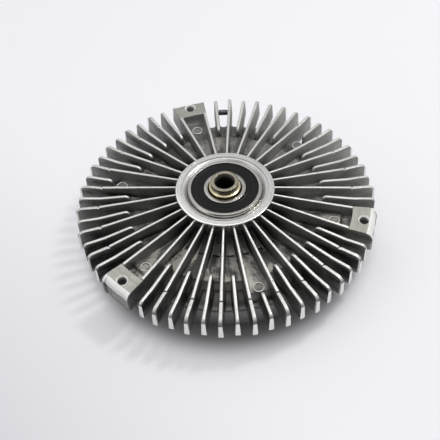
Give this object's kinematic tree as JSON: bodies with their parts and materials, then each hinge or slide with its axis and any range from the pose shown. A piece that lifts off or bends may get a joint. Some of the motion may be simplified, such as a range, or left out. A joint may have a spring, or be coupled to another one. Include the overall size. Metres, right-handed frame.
{
  "type": "viscous fan clutch",
  "caption": "Finned viscous clutch that drives a car's cooling fan, with a hollow shaft on a sealed ball bearing, a sheared-fluid rotor and a bimetal valve.",
  "frame": {"origin": "on the shaft's axis, in the plane of the front cover's fin edges that it rests on", "axes": "+Z along the shaft towards the engine, +X through the middle of one fan lug"},
  "size_m": [0.1694, 0.17, 0.0447],
  "materials": {
    "cast_housing": "as cast, machined on top",
    "cast_cover": "as cast",
    "turned_aluminium": "turned",
    "plated_steel": "yellow zinc plated",
    "bearing_steel": "ground",
    "sheet_steel": "rolled",
    "dark_steel": "hardened, dark",
    "bimetal": "rolled",
    "seal_rubber": "matte"
  },
  "bodies": {
    "housing": {"finned_housing": "cast_housing", "front_cover": "cast_cover", "cover_o_ring": "seal_rubber", "separator_plate": "sheet_steel", "pump_block": "sheet_steel", "bearing_outer_ring": "bearing_steel", "bearing_seal_rear": "seal_rubber", "bearing_seal_front": "seal_rubber", "front_shaft_seal": "seal_rubber", "pin_bush": "plated_steel", "strip_rivet_1": "sheet_steel", "strip_rivet_2": "sheet_steel", "lever_rivet": "sheet_steel", "balance_pin": "dark_steel"},
    "shaft": {"drive_shaft": "plated_steel", "rotor_disc": "turned_aluminium", "rotor_clip": "dark_steel", "bearing_inner_ring": "bearing_steel"},
    "ball_cage": {"bearing_cage": "sheet_steel", "bearing_ball_1": "bearing_steel", "bearing_ball_2": "bearing_steel", "bearing_ball_3": "bearing_steel", "bearing_ball_4": "bearing_steel", "bearing_ball_5": "bearing_steel", "bearing_ball_6": "bearing_steel", "bearing_ball_7": "bearing_steel", "bearing_ball_8": "bearing_steel"},
    "strip": {"bimetal_strip": "bimetal"},
    "pin": {"control_pin": "bearing_steel"},
    "lever": {"valve_lever": "sheet_steel"}
  },
  "joints": [
    {"name": "shaft_spin", "type": "hinge", "parent": "housing", "child": "shaft", "pos_m": [0, 0, 0], "axis": [0, 0, 1], "continuous": true},
    {"name": "cage_spin", "type": "hinge", "parent": "housing", "child": "ball_cage", "pos_m": [0, 0, 0], "axis": [0, 0, 1], "continuous": true},
    {"name": "strip_bend", "type": "hinge", "parent": "housing", "child": "strip", "pos_m": [0.025, -0.017, 0.0034], "axis": [-1, 0, 0], "range_deg": [0, 3.4], "stiffness_Nm_per_rad": 0.02, "springref_deg": -8.59},
    {"name": "pin_slide", "type": "slide", "parent": "housing", "child": "pin", "axis": [0, 0, -1], "range_m": [0, 0.00102]},
    {"name": "lever_tilt", "type": "hinge", "parent": "housing", "child": "lever", "pos_m": [0.025, -0.0155, 0.0126], "axis": [-1, 0, 0], "range_deg": [0, 3.75]}
  ],
  "couplings": [
    {"joint": "cage_spin", "follows": "shaft_spin", "ratio": 0.3779},
    {"joint": "pin_slide", "follows": "strip_bend", "m_per_rad": 0.017},
    {"joint": "lever_tilt", "follows": "strip_bend", "ratio": 1.0968}
  ]
}
